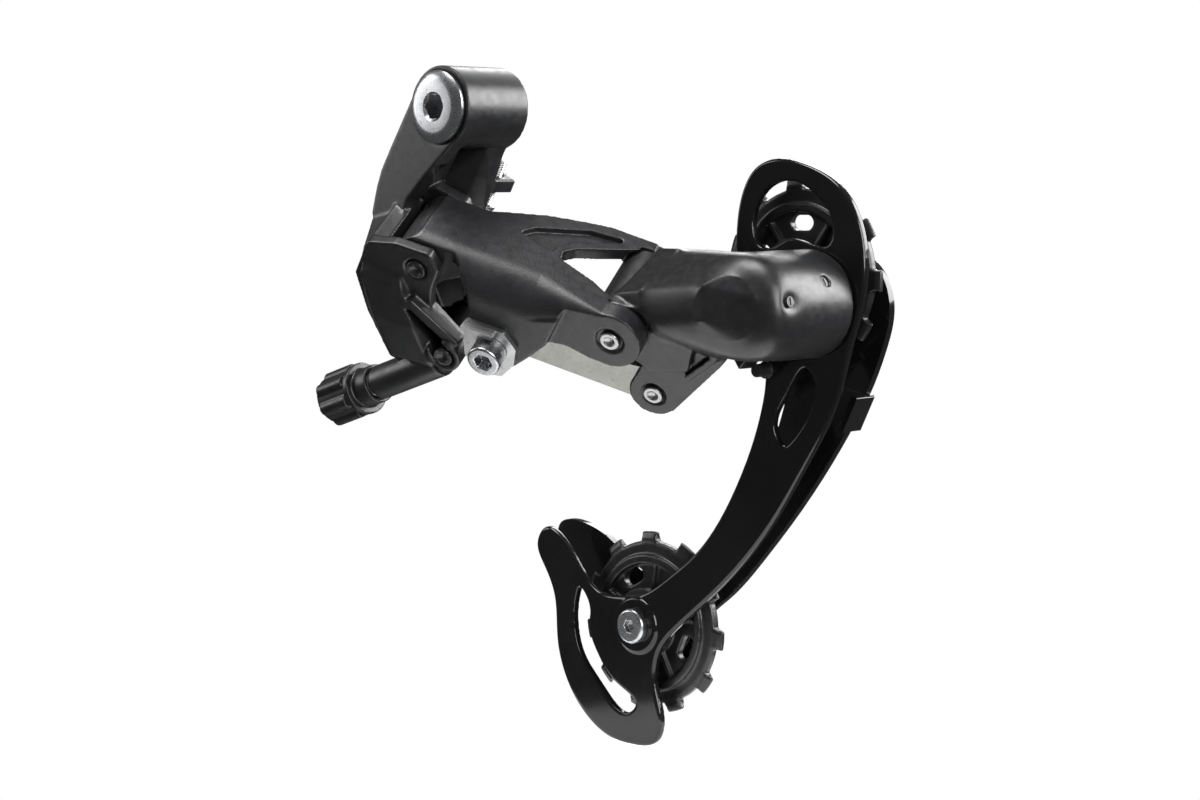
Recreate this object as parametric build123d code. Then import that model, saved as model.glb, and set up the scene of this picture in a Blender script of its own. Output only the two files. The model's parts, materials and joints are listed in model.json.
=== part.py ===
"""Rear derailleur for a bicycle, modelled as separate pieces that move.

The origin is on the axis of the hanger bolt, in the face that meets the frame's
hanger. +X is forward, +Y is inboard (towards the wheel) and +Z is up. Units are mm.
"""
from build123d import *
from math import cos, pi, radians, sin
import os

os.makedirs("parts", exist_ok=True)

# ---------------------------------------------------------------- driving sizes
# Hanger bolt and the barrel of the upper (B) knuckle, on the Y axis
BARREL_R = 9.75
BARREL_LENGTH = 20.0
BOLT_HEAD_R = 8.6
BOLT_HEAD_T = 2.3
BOLT_SHANK_R = 5.5
THREAD_R = 5.0
THREAD_LENGTH = 4.6
BUSH_R = 7.0
BORE_TOP = -1.2
PANEL_T = 4.2

# Adjusting screws in the upper knuckle
TENSION_TAB = (-5.0, 2.85, -17.0)
TENSION_SCREW_TILT = 30.0
TENSION_SCREW_R = 1.5
LIMIT_SCREW_R = 1.5
LIMIT_SCREW_LEVELS = (11.0, 18.4)
LIMIT_SCREW_TIP = 7.4
LIMIT_SCREW_SEAT = 16.9
LIMIT_SCREW_TURN = 45.0

# Four-bar linkage: pin frame at the outer link's rear pin, levels run along the pins
PIN_B1 = Vector(-2.7, -25.5, -38.2)
PIN_AXIS = Vector(-0.235, 0.793, 0.563).normalized()
LINK_HINT = Vector(41.3, 23.9, -16.6)
LINK_LENGTH = 49.5
COUPLER_A = 10.6
COUPLER_B = 20.4
PIN_R = 2.2
PIN_CLEAR = 0.06
PIN_HEAD_R = 2.4
GAP = 0.3
LOW_EAR = (0.0, 3.0)
OUTER_BARREL = (3.3, 20.8)
HIGH_EAR = (21.1, 24.1)
OUTER_BARREL_R = 7.0
FACE_B = -7.0
FACE_T = 3.4
ARM_T = 5.0
P1_BARREL = (5.3, 26.7)
P1_TOP_ARM = (27.0, 30.0)
INNER_LINK = (11.8, 20.8)
INNER_T = 1.4
B2_FOOT = -4.0
P2_LOW_EAR = (9.0, 11.5)
P2_HIGH_EAR = (21.1, 23.4)

# Cable anchor on the outer link
ANCHOR_A = 22.1
ANCHOR_B = 13.2
ANCHOR_FACE = -1.7
ANCHOR_BOLT_R = 2.4
ANCHOR_HEAD_R = 4.1
ANCHOR_HEAD_T = 5.0
CLAMP_T = 1.3

# Cage pivot, in the lower (P) knuckle
CAGE_X = 68.0
CAGE_Z = -46.0
KNUCKLE_R = 12.75
KNUCKLE_Y = (8.6, 34.6)
AXLE_R = 4.0
SPRING_ROOM_R = 8.6
STOP_PIN = (54.6, -62.2)
STOP_PIN_R = 1.6
PLUG_R = 1.24
PLUGS = ((8.0, 12.0), (28.0, 26.0))

# Cage, pulleys and the chain line
GUIDE_X = 60.2
GUIDE_Z = -39.8
TENSION_X = 12.6
TENSION_Z = -129.0
CHAIN_Y = 42.0
CAGE_GAP = 9.4
PLATE_T = 2.0
CHAIN_PITCH = 12.7
ROLLER_R = 3.95
TEETH = 11
TOOTH_T = 2.3
TIP_R = 23.2
PULLEY_BORE_R = 4.0
PULLEY_HUB_R = 8.0
PULLEY_HUB_T = 7.4
PULLEY_BOLT_R = 2.5

# Barrel adjuster, in the X-Z plane at ADJUST_Y
ADJUST_X = -16.6
ADJUST_Y = -11.0
ADJUST_Z = -62.5
ADJUST_SLOPE = 17.6
ADJUST_BOSS_R = 4.35
BOSS_END = 15.5
ADJUST_THREAD_R = 2.5
HOUSING_R = 2.55
SKIRT_START = 16.1
SKIRT_BORE_R = 3.95
KNOB = (21.0, 33.6)

OUTER_PLATE_Y = CHAIN_Y - CAGE_GAP / 2 - PLATE_T
INNER_PLATE_Y = CHAIN_Y + CAGE_GAP / 2
PITCH_R = CHAIN_PITCH / 2 / sin(pi / TEETH)

# ---------------------------------------------------------------- local frames
LINK_DIR = (LINK_HINT - PIN_AXIS * LINK_HINT.dot(PIN_AXIS)).normalized()
LINK = Plane(origin=PIN_B1, x_dir=LINK_DIR, z_dir=PIN_AXIS).location
SIDE = Plane(origin=(0, 0, 0), x_dir=(1, 0, 0), z_dir=(0, -1, 0)).location
ADJUST = Plane(
    origin=(ADJUST_X, ADJUST_Y, ADJUST_Z),
    x_dir=(0, 1, 0),
    z_dir=(-cos(radians(ADJUST_SLOPE)), 0, -sin(radians(ADJUST_SLOPE))),
).location
PIN_P1 = (LINK_LENGTH, 0.0)
PIN_B2 = (COUPLER_A, COUPLER_B)
PIN_P2 = (LINK_LENGTH + COUPLER_A, COUPLER_B)

NODES = {}


def keep(name, shape):
    """Give a sub-part its node name."""
    NODES[name] = shape


# ---------------------------------------------------------------- shape helpers
def prism(points, low, high, radius=0.0):
    """Straight prism of a closed outline, from one level to another."""
    face = make_face(Polyline(*points, close=True))
    if radius:
        face = fillet(face.vertices(), radius)
    return Pos(0, 0, low) * extrude(face, high - low, dir=(0, 0, 1))


def disc(radius, low, high, x=0.0, y=0.0):
    """Cylinder along the local Z axis between two levels."""
    return Pos(x, y, (low + high) / 2) * Cylinder(radius, high - low)


def side_plate(points, y_low, y_high, radius=0.0):
    """Prism of an X-Z outline between two Y levels."""
    return SIDE * prism(points, -y_high, -y_low, radius)


def side_disc(radius, y_low, y_high, x=0.0, z=0.0):
    """Cylinder along Y between two Y levels."""
    return SIDE * disc(radius, -y_high, -y_low, x, z)


def ring(outer, inner, low, high, x=0.0, y=0.0):
    """Tube along the local Z axis."""
    return disc(outer, low, high, x, y) - disc(inner, low - 1, high + 1, x, y)


def side_ring(outer, inner, y_low, y_high, x=0.0, z=0.0):
    """Tube along Y."""
    return SIDE * ring(outer, inner, -y_high, -y_low, x, z)


def hex_socket(across, low, high):
    """Hexagonal recess along the local Z axis."""
    return Pos(0, 0, low) * extrude(RegularPolygon(across / 2, 6, major_radius=False), high - low)


def helix_coil(radius, wire_r, low, high, turns):
    """Round-wire coil about the local Z axis."""
    path = Pos(0, 0, low) * Helix((high - low) / turns, high - low, radius)
    start = path @ 0
    section = Plane(origin=start, x_dir=(1, 0, 0), z_dir=path % 0) * Circle(wire_r)
    return sweep(section, path, is_frenet=True)


# ---------------------------------------------------------------- upper knuckle
PANEL = [
    (-9.3, 3.0), (-17.2, -8.9), (-20.8, -14.6), (-22.5, -18.7), (-24.6, -26.0), (-12.6, -24.2),
    (-11.5, -22.0), (-5.9, -16.9), (-0.1, -12.2), (5.7, -7.6), (0.0, 4.0),
]
BODY_REAR = [
    (-15.4, 7.8), (-11.5, 18.5), (-4.6, 30.8), (0.5, 30.8), (-2.5, 24.0), (-7.6, 14.0), (-8.6, 4.0),
    (-8.6, -3.0), (-13.0, -3.0),
]
LOW_PLATE = [
    (-15.4, 7.8), (-13.0, -3.0), (-6.0, -5.6), (3.0, -5.9), (5.8, -2.0), (4.6, 4.4), (4.8, 10.0),
    (13.4, 17.0), (14.6, 21.4), (11.0, 25.2), (-1.0, 31.0), (-4.6, 30.8), (-11.5, 18.5),
]
HIGH_PLATE = [
    (-13.0, -3.0), (-5.0, -7.6), (3.0, -6.0), (6.2, 0.0), (6.0, 6.0), (13.5, 15.8),
    (15.6, 21.0), (11.0, 26.0), (0.5, 30.8), (-4.6, 30.8), (-11.5, 18.5), (-15.4, 7.8),
]
STRUT = [(-2.0, 22.0), (9.0, 16.8), (14.2, 20.0), (11.8, 25.3), (0.0, 29.5)]
FRONT_RIB = [(-2.0, 9.4), (0.6, 7.6), (13.8, 15.8), (12.6, 18.4)]
OUTER_SWEEP = [(-5.0, -6.6), (5.0, 8.0), (60, 10), (60, -16), (-5.0, -16)]
INNER_SWEEP = [
    (COUPLER_A, COUPLER_B + 6.6), (COUPLER_A - 6, COUPLER_B - 2.8), (COUPLER_A - 2, 4.0),
    (60, 4.0), (60, COUPLER_B + 6.6),
]
# Points of the hulls that join the barrel, the panel and the lower body
PANEL_FOOT = [
    (-24.4, -19.4, -25.5), (-12.6, -19.6, -23.4), (-21.6, -25.2, -33.0), (-19.2, -29.4, -39.2),
    (-10.2, -28.0, -35.4), (-11.6, -24.5, -30.0), (-22.0, -13.0, -22.0), (-13.0, -13.0, -22.0),
    (-17.0, -20.0, -37.0), (-11.0, -20.0, -35.0),
]
NECK = [
    (-9.5, -17.0, -1.0), (-9.5, -11.0, -1.0), (-2.0, -17.0, -9.4), (-2.0, -11.0, -9.4),
    (-22.0, -17.0, -19.0), (-19.5, -10.0, -19.0), (-12.0, -17.0, -21.0), (-12.0, -10.0, -21.5),
]
INBOARD_RIB = [
    (-9.4, -10.0, -4.0), (2.6, -6.0, -9.0), (-9.4, -0.2, -4.0), (2.6, -0.2, -9.0),
    (-16.0, -12.0, -20.0), (-5.0, -7.0, -22.0), (-13.0, -3.0, -24.5), (-4.4, -1.0, -25.5),
]
TAB_ROOT = [
    (-9.5, -5.0, -13.0), (-1.6, -5.0, -11.5), (-9.5, -0.2, -13.0), (-1.6, -0.2, -11.5),
    (-9.5, -5.0, -20.0), (-3.0, -5.0, -18.6), (-9.5, -0.2, -20.0), (-3.0, -0.2, -18.6),
]

POCKET = [(-0.9, 10.9), (0.4, 10.6), (11.2, 17.4), (8.2, 21.6)]
REAR_ARM = [
    (-13.6, 2.6, 0.4), (-13.4, 5.2, -1.8), (-4.2, 2.8, 0.4), (-2.4, 6.4, -1.8), (-8.4, 15.5, -3.6),
    (-2.9, 26.0, -4.0), (2.2, 15.4, -3.6), (7.6, 24.8, -4.0), (-4.4, 30.4, 0.6), (10.6, 25.0, 0.6),
    (-11.4, 18.2, 0.6),
]


def tension_frame():
    """Frame of the body-angle screw: local Z points at the hanger's stop."""
    x, y, z = TENSION_TAB
    tilt = radians(TENSION_SCREW_TILT)
    return Plane(origin=(x, y, z), x_dir=(0, 1, 0), z_dir=(sin(tilt), 0, cos(tilt))).location


def limit_frame(index):
    """Frame of a limit screw: local Z runs from the rear pin out through the rear wall."""
    return LINK * Pos(0, 0, LIMIT_SCREW_LEVELS[index]) * Rot(0, 0, -LIMIT_SCREW_TURN) * Rot(0, -90, 0)


def b_knuckle():
    """Upper knuckle: barrel, outboard panel, ears for two pins, adjuster boss."""
    barrel = side_disc(BARREL_R, -BARREL_LENGTH, 0)
    panel = side_plate(PANEL, -BARREL_LENGTH, -BARREL_LENGTH + PANEL_T, 0.8)
    panel += ConvexPolyhedron(PANEL_FOOT)
    boss_top = INNER_LINK[0] - GAP
    body = prism(LOW_PLATE, *LOW_EAR, 1.0)
    body += prism(HIGH_PLATE, *HIGH_EAR, 1.0)
    body += prism(BODY_REAR, 0.0, HIGH_EAR[1], 0.4)
    body += disc(4.4, B2_FOOT, boss_top, *PIN_B2)
    body += prism(STRUT, 0.0, boss_top, 0.8)
    body += prism(FRONT_RIB, B2_FOOT + 1.2, 1.0)
    body += ConvexPolyhedron(REAR_ARM)
    body = LINK * body
    adjuster_boss = ADJUST * disc(ADJUST_BOSS_R, -8.0, BOSS_END)
    neck = ConvexPolyhedron(NECK)
    rib = ConvexPolyhedron(INBOARD_RIB)
    tab = tension_frame() * Box(7.5, 7.0, 3.4)
    tab_root = ConvexPolyhedron(TAB_ROOT)
    knuckle = barrel + panel + body + adjuster_boss + neck + rib + tab + tab_root
    # Room for the linkage, the pins and the bolt
    outer_low = OUTER_BARREL[0] - GAP
    sweep_room = disc(OUTER_BARREL_R + 0.5, outer_low, HIGH_EAR[0])
    sweep_room += prism(OUTER_SWEEP, outer_low, HIGH_EAR[0])
    sweep_room += disc(6.6, boss_top, HIGH_EAR[0], *PIN_B2)
    sweep_room += prism(INNER_SWEEP, boss_top, HIGH_EAR[0])
    knuckle -= LINK * sweep_room
    knuckle -= side_disc(BUSH_R, -BARREL_LENGTH - 0.1, BORE_TOP)
    knuckle -= side_disc(BOLT_SHANK_R + 1.0, BORE_TOP - 1, 1)
    knuckle -= side_disc(BOLT_HEAD_R + 0.15, -BARREL_LENGTH - 1, -BARREL_LENGTH + 0.4)
    for x, y in ((0.0, 0.0), PIN_B2):
        knuckle -= LINK * disc(PIN_R, -10, 40, x, y)
        knuckle -= LINK * disc(PIN_HEAD_R + 0.5, -10, B2_FOOT + 0.6 if y else 0.6, x, y)
    knuckle -= LINK * prism(POCKET, B2_FOOT - 1, 1.6, 0.5)
    knuckle -= ADJUST * disc(ADJUST_THREAD_R + 0.05, -12, 20)
    knuckle -= tension_frame() * disc(TENSION_SCREW_R + 0.04, -9, 9)
    for index in (0, 1):
        knuckle -= limit_frame(index) * disc(LIMIT_SCREW_R + 0.04, LIMIT_SCREW_TIP - 2, LIMIT_SCREW_SEAT + 1)
        knuckle -= limit_frame(index) * disc(2.7, LIMIT_SCREW_SEAT - 0.1, LIMIT_SCREW_SEAT + 9)
    return knuckle


keep("b_knuckle", b_knuckle())


# ---------------------------------------------------------------- hanger bolt
def hanger_bolt():
    """Shoulder bolt that screws into the frame's hanger."""
    y_face = -BARREL_LENGTH
    head = side_disc(BOLT_HEAD_R, y_face - BOLT_HEAD_T + 0.1, y_face + 0.1)
    head = chamfer(head.faces().sort_by(Axis.Y)[0].edges(), 0.9, 1.6)
    shank = side_disc(BOLT_SHANK_R, y_face, BORE_TOP - GAP)
    neck = side_disc(BOLT_SHANK_R - 1.2, BORE_TOP - 1.0, 0.0)
    thread = side_disc(THREAD_R, 0.0, THREAD_LENGTH)
    thread = chamfer(thread.faces().sort_by(Axis.Y)[-1].edges(), 0.5)
    groove = side_ring(BOLT_SHANK_R + 1, BOLT_SHANK_R - 0.7, -4.6, -3.8)
    socket = SIDE * hex_socket(5.0, -y_face - 2.2, -y_face + 4)
    return head + shank + neck + thread - groove - socket


def hanger_bush():
    """Flanged sleeve that the bolt turns in."""
    return side_ring(BUSH_R, BOLT_SHANK_R + 0.05, -BARREL_LENGTH + 0.5, -5.4)


def hanger_bolt_clip():
    """Open retaining ring in the bolt's groove."""
    clip = side_ring(BOLT_SHANK_R + 0.9, BOLT_SHANK_R - 0.6, -4.5, -3.9)
    return clip - Pos(8, -4, 0) * Box(12, 4, 4.5)


keep("hanger_bolt", hanger_bolt())
keep("hanger_bolt_bush", hanger_bush())
keep("hanger_bolt_clip", hanger_bolt_clip())


# ---------------------------------------------------------------- adjusting screws
def small_screw(radius, length, head_r, head_t):
    """Pan-head screw with a cross recess, shank along +Z from its head at z=0."""
    shank = disc(radius, 0, length)
    shank = chamfer(shank.faces().sort_by(Axis.Z)[-1].edges(), radius * 0.35)
    head = disc(head_r, -head_t, 0)
    head = fillet(head.faces().sort_by(Axis.Z)[0].edges(), head_t * 0.45)
    recess = Pos(0, 0, -head_t) * (Box(head_r * 1.2, 0.6, 1.3) + Box(0.6, head_r * 1.2, 1.3))
    return shank + head - recess


def limit_screw(index):
    """Travel stop screw, in from the rear wall towards the linkage."""
    reach = LIMIT_SCREW_SEAT - LIMIT_SCREW_TIP - 0.6 * index
    screw = small_screw(LIMIT_SCREW_R, reach, 2.3, 1.6)
    return limit_frame(index) * Pos(0, 0, LIMIT_SCREW_SEAT) * Rot(180, 0, 0) * screw


keep("b_tension_screw", tension_frame() * Pos(0, 0, -6.4) * small_screw(TENSION_SCREW_R, 12.4, 2.7, 1.9))
keep("limit_screw_low", limit_screw(0))
keep("limit_screw_high", limit_screw(1))


# ---------------------------------------------------------------- pivot pins
def pin(low, high, place, head_r=PIN_HEAD_R, head_t=0.8):
    """Pivot pin with a dished head at its low end."""
    shaft = disc(PIN_R - PIN_CLEAR, low, high)
    shaft = chamfer(shaft.faces().sort_by(Axis.Z)[-1].edges(), 0.4)
    head = disc(head_r, low, low + head_t)
    head = fillet(head.faces().sort_by(Axis.Z)[0].edges(), 0.3)
    dish = Pos(0, 0, low - 1.2) * Sphere(1.9)
    return LINK * Pos(place[0], place[1], 0) * (shaft + head - dish)


keep("pin_upper_outer", pin(-0.3, HIGH_EAR[1], (0, 0)))
keep("pin_upper_inner", pin(B2_FOOT - 0.3, HIGH_EAR[1], PIN_B2))
keep("pin_lower_outer", pin(-0.3, P1_TOP_ARM[1], PIN_P1))
keep("pin_lower_inner", pin(P2_LOW_EAR[0] - 0.5, P2_HIGH_EAR[1], PIN_P2))


# ---------------------------------------------------------------- outer link
FACE_OUTLINE = [
    (-2.0, 3.3), (8.0, 3.3), (12.0, 0.0), (53.4, 0.0), (52.6, 2.6), (48.4, 6.2), (45.2, 7.5),
    (40.6, 10.0), (31.0, 13.4), (30.4, 16.0), (32.8, 18.4), (45.0, 25.0), (49.5, 27.0),
    (49.5, 30.0), (37.4, 30.0), (31.0, 28.6), (22.0, 26.2), (9.6, 20.8), (-2.0, 20.8),
]
POCKET_OUTLINE = [
    (18.6, 17.4), (21.4, 20.6), (33.0, 26.0), (44.5, 27.4), (31.0, 20.2), (28.6, 17.2), (28.4, 15.0),
]
LOW_ARM = [
    (9.5, FACE_B + 0.3), (53.0, FACE_B + 0.3), (56.6, -3.4), (56.6, 3.2), (51.0, 7.6), (45.5, 7.6),
    (39.2, 6.4), (34.5, 7.4), (24.0, 4.0), (13.0, 2.0),
]
HIGH_ARM = [
    (37.0, FACE_B + 0.2), (49.5, FACE_B + 0.4), (55.8, -2.0), (55.0, 4.0), (49.0, 6.4), (43.0, 0.5),
    (37.4, -3.6),
]
LEG = [
    (11.4, FACE_B + 0.4), (14.0, 1.0), (15.6, 9.0), (17.0, 16.0), (21.6, 19.2), (27.0, 18.4),
    (30.6, 13.6), (34.8, 7.2), (38.0, FACE_B + 0.4),
]
BARREL_WEB = [(-1.0, -6.9), (10.0, -6.9), (16.0, -3.8), (9.0, 1.5), (4.0, 5.2)]
CLAMP_OUTLINE = [
    (14.2, 7.0), (24.6, 6.8), (28.2, 10.6), (28.2, 15.6), (25.6, 20.4), (20.0, 22.0), (15.6, 17.6),
]
CLAMP_FOLD = [(14.4, 7.2), (22.6, 7.0), (22.6, 8.2), (14.6, 8.4)]
FOLD = [(-8.0, 8.5, ANCHOR_FACE), (29.0, 8.5, ANCHOR_FACE), (47.0, 0.8, -0.2)]
FOLD_BACKING = [(10.5, -6.6), (36.0, -6.6), (31.0, 3.5), (17.0, 4.5), (14.5, 1.0)]
FACE_TO_LINK = Plane(origin=(0, FACE_B, 0), x_dir=(1, 0, 0), z_dir=(0, -1, 0)).location


def fold_section(a, radius, level):
    """Corner outside a rounded fold between the face and a level, at a place along the link."""
    plane = Plane(origin=(a, 0, 0), x_dir=(0, 1, 0), z_dir=(1, 0, 0))
    start = (FACE_B + radius, level)
    end = (FACE_B, level + radius)
    middle = (FACE_B + radius * (1 - sin(pi / 4)), level + radius * (1 - cos(pi / 4)))
    far = (FACE_B - 2, level - 2)
    outline = Wire([
        ThreePointArc(start, middle, end),
        Line(end, (far[0], end[1])),
        Line((far[0], end[1]), far),
        Line(far, (start[0], far[1])),
        Line((start[0], far[1]), start),
    ])
    return plane.location * make_face(outline)


def outer_link():
    """Outer link: rear barrel, front clevis and the leg that holds the cable anchor."""
    face = FACE_TO_LINK * Pos(0, 0, -FACE_T) * prism(FACE_OUTLINE, 0, FACE_T, 0.6)
    barrel = disc(OUTER_BARREL_R, *OUTER_BARREL)
    low_arm = prism(LOW_ARM, 0.0, ARM_T, 0.9)
    low_boss = disc(7.6, 0.0, ARM_T, *PIN_P1)
    high_arm = prism(HIGH_ARM, *P1_TOP_ARM, 0.8)
    high_boss = disc(6.5, *P1_TOP_ARM, *PIN_P1)
    leg = prism(LEG, ANCHOR_FACE, 3.6, 1.2)
    web = prism(BARREL_WEB, *OUTER_BARREL, 0.5)
    backing = prism(FOLD_BACKING, ANCHOR_FACE + 1, 9.0, 0.8)
    shape = face + barrel + low_arm + low_boss + high_arm + high_boss + leg + web + backing
    for first, second in zip(FOLD, FOLD[1:]):
        shape -= loft([fold_section(*first), fold_section(*second)], ruled=True)
    pocket = FACE_TO_LINK * prism(POCKET_OUTLINE, -1.6, 1.0, 0.7)
    shape -= pocket
    room = disc(OUTER_BARREL_R + 0.6, P1_BARREL[0] - GAP, P1_TOP_ARM[0], *PIN_P1)
    shape -= room
    # The fixed lower ear turns past the underside of the rear barrel
    shape -= disc(7.2, -5.0, LOW_EAR[1] + GAP)
    for x, y in ((0.0, 0.0), PIN_P1):
        shape -= disc(PIN_R, -5, 35, x, y)
    shape -= disc(3.5, -1.0, 0.7, *PIN_P1)
    shape -= disc(ANCHOR_BOLT_R + 0.05, -5, 8, ANCHOR_A, ANCHOR_B)
    return LINK * shape


def cable_clamp_plate():
    """Plate that the anchor bolt presses on the cable, with a folded edge."""
    level = ANCHOR_FACE - CLAMP_T
    plate = prism(CLAMP_OUTLINE, level, ANCHOR_FACE - 0.02, 1.0)
    plate += prism(CLAMP_FOLD, level - 2.2, level + 0.6, 0.3)
    plate -= disc(ANCHOR_BOLT_R + 0.1, level - 3, ANCHOR_FACE + 1, ANCHOR_A, ANCHOR_B)
    return LINK * plate


def cable_anchor_bolt():
    """Socket-head bolt through the clamp plate into the leg."""
    under = ANCHOR_FACE - CLAMP_T - 0.02
    head = disc(ANCHOR_HEAD_R, under - ANCHOR_HEAD_T, under)
    head = fillet(head.faces().sort_by(Axis.Z)[0].edges(), 0.6)
    shank = disc(ANCHOR_BOLT_R, under, 5.6)
    socket = hex_socket(4.0, under - ANCHOR_HEAD_T - 1, under - ANCHOR_HEAD_T + 2.6)
    return LINK * Pos(ANCHOR_A, ANCHOR_B, 0) * (head + shank - socket)


keep("outer_link", outer_link())
keep("cable_clamp_plate", cable_clamp_plate())
keep("cable_anchor_bolt", cable_anchor_bolt())


# ---------------------------------------------------------------- inner link
def inner_link():
    """Pressed steel channel between the two inner pins."""
    low, high = INNER_LINK
    rear, front = PIN_B2[0], PIN_P2[0]
    outline = [
        (rear - 5.2, 19.0), (rear - 2.0, 15.9), (rear + 3.0, 15.6), (rear + 14, 18.2), (front - 16, 17.6),
        (front - 3.0, 15.6), (front + 2.0, 15.9), (front + 5.2, 19.0), (front + 5.2, 23.0),
        (front + 2.5, 25.9), (rear - 2.5, 25.9), (rear - 5.2, 23.0),
    ]
    shape = prism(outline, low, low + INNER_T, 1.2) + prism(outline, high - INNER_T, high, 1.2)
    shape += prism([(rear + 1.0, 25.9 - INNER_T), (front - 1.0, 25.9 - INNER_T), (front - 1.0, 25.9),
                    (rear + 1.0, 25.9)], low, high)
    for place in (PIN_B2, PIN_P2):
        shape -= disc(PIN_R, low - 1, high + 1, *place)
    return LINK * shape


def return_spring():
    """Torsion spring around the upper inner pin, one leg on each side."""
    low, high = INNER_LINK[0] + INNER_T + 0.4, INNER_LINK[1] - INNER_T - 0.4
    coil = helix_coil(3.3, 0.5, low + 0.6, high - 0.6, 4)
    return LINK * Pos(*PIN_B2, 0) * coil


keep("inner_link", inner_link())
keep("return_spring", return_spring())


# ---------------------------------------------------------------- lower knuckle
BRIDGE = [(49.5, -6.9), (58.0, -9.0), (68.0, -6.0), (68.0, 6.0), (59.0, 10.0), (52.0, 6.9)]
P2_LOW_OUTLINE = [(54.4, 18.0), (59.5, -2.0), (75.6, -2.0), (76.0, 1.6), (65.4, 24.2)]
P2_HIGH_OUTLINE = [(55.4, 18.8), (54.0, 7.0), (59.0, -2.0), (70.0, -2.0), (65.4, 22.0)]
EAR_RIB = [(66.8, 10.0), (68.4, 10.6), (75.0, 0.0), (73.4, -1.0)]
EAR_BRACE = [(59.0, 9.0), (63.3, 12.5), (68.3, 15.0), (72.6, 4.0), (68.6, -2.0), (59.0, -2.0)]
INNER_REST_ROOM = [(61.0, 26.8), (57.2, 14.4), (48.9, 8.0), (30, 8), (30, 26.8)]
INNER_SWING_ROOM = [
    (60.1, 14.0), (66.5, 20.5), (60.1, 27.0), (40, 60), (20, 60), (50, 9.2), (54.0, 8.0),
]
STOP_LUG = [(50.9, -62.2), (55.8, -56.6), (59.0, -53.6), (52.0, -50.8), (48.2, -58.2)]
RIM_POINTS = 32
SHELL_POINTS = [
    (36.6, 1.2, -43.4), (62.6, 1.6, -41.0), (73.6, 5.2, -43.0),
    (42.4, 1.4, -50.4), (55.1, 1.2, -48.6), (62.8, 1.8, -48.9), (71.0, 5.4, -51.0),
    (41.0, 11.5, -33.0), (52.0, 13.5, -33.0), (64.0, 10.5, -33.2),
    (50.0, 26.0, -34.0), (50.0, 33.5, -48.0), (52.0, 16.0, -58.0), (38.5, 9.0, -53.0),
]


def p_knuckle():
    """Lower knuckle: front barrel, ears for the inner pin and the cage pivot housing."""
    y_low, y_high = KNUCKLE_Y
    housing = side_disc(KNUCKLE_R, y_low, y_high, CAGE_X, CAGE_Z)
    turns = [2 * pi * index / RIM_POINTS for index in range(RIM_POINTS)]
    rim_r = KNUCKLE_R - 0.02
    rim = [(CAGE_X + rim_r * cos(t), y_low, CAGE_Z + rim_r * sin(t)) for t in turns]
    shell = ConvexPolyhedron(SHELL_POINTS + rim)
    ears = disc(7.0, *P1_BARREL, *PIN_P1)
    ears += prism(BRIDGE, P1_BARREL[0], 22.0, 1.0)
    ears += prism(P2_LOW_OUTLINE, *P2_LOW_EAR, 0.8) + disc(6.2, *P2_LOW_EAR, *PIN_P2)
    ears += prism(P2_HIGH_OUTLINE, *P2_HIGH_EAR, 0.8) + disc(5.6, *P2_HIGH_EAR, *PIN_P2)
    ears += prism(EAR_RIB, 7.4, P2_LOW_EAR[1] + 4)
    ears += prism(EAR_BRACE, P2_LOW_EAR[0], P2_HIGH_EAR[1], 0.8)
    stop = side_plate(STOP_LUG, 29.0, y_high)
    knuckle = housing + shell + LINK * ears + stop
    # Room for the outer link's two arms and for the inner link
    arm_low = P1_TOP_ARM[0] - GAP
    inner_low, inner_high = INNER_LINK[0] - GAP, INNER_LINK[1] + GAP
    cut = disc(8.4, -20, P1_BARREL[0], *PIN_P1)
    cut += disc(7.4, arm_low, 60, *PIN_P1)
    cut += prism([(0, -40), (49.5, -8.4), (49.5, 40), (0, 40)], -20, P1_BARREL[0])
    cut += prism([(0, -40), (49.5, -7.4), (52.0, 7.0), (49.5, 60), (0, 60)], arm_low, 60)
    cut += disc(6.4, inner_low, inner_high, *PIN_P2)
    cut += prism(INNER_REST_ROOM, inner_low, inner_high)
    cut += prism(INNER_SWING_ROOM, inner_low, inner_high)
    knuckle -= LINK * cut
    knuckle -= side_disc(60, y_high, y_high + 40, CAGE_X, CAGE_Z)
    for x, y in (PIN_P1, PIN_P2):
        knuckle -= LINK * disc(PIN_R, -20, 60, x, y)
    knuckle -= LINK * disc(3.2, P2_LOW_EAR[0] - 2, P2_LOW_EAR[0] + 0.5, *PIN_P2)
    # Housing bore for the axle and its spring, open towards the cage
    knuckle -= side_disc(SPRING_ROOM_R, 19.0, y_high + 1, CAGE_X, CAGE_Z)
    knuckle -= side_disc(AXLE_R + PIN_CLEAR, 15.5, y_high + 1, CAGE_X, CAGE_Z)
    for direction, y in PLUGS:
        knuckle -= plug_frame(direction, y) * disc(PLUG_R + 0.06, 7, 16)
    return knuckle


def plug_frame(direction, y):
    """Frame of a retaining plug: local Z points out through the housing wall."""
    angle = radians(direction)
    return Plane(origin=(CAGE_X, y, CAGE_Z), x_dir=(0, 1, 0), z_dir=(cos(angle), 0, sin(angle))).location


def retaining_plugs():
    """Two headless plugs that hold the axle and the end of its spring."""
    parts = []
    for direction, y in PLUGS:
        body = disc(PLUG_R, 9.4, 12.2)
        body -= Pos(0, 0, 12.2) * Box(0.4, 1.8, 0.9)
        parts.append(plug_frame(direction, y) * body)
    return Compound(children=parts)


keep("p_knuckle", p_knuckle())
keep("knuckle_plugs", retaining_plugs())


# ---------------------------------------------------------------- cage pivot
def cage_axle():
    """Axle fixed in the outer cage plate, with a collar for the spring."""
    axle = side_disc(AXLE_R, 16.0, OUTER_PLATE_Y + PLATE_T, CAGE_X, CAGE_Z)
    return axle + side_disc(7.2, 31.9, 32.9, CAGE_X, CAGE_Z)


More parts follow.
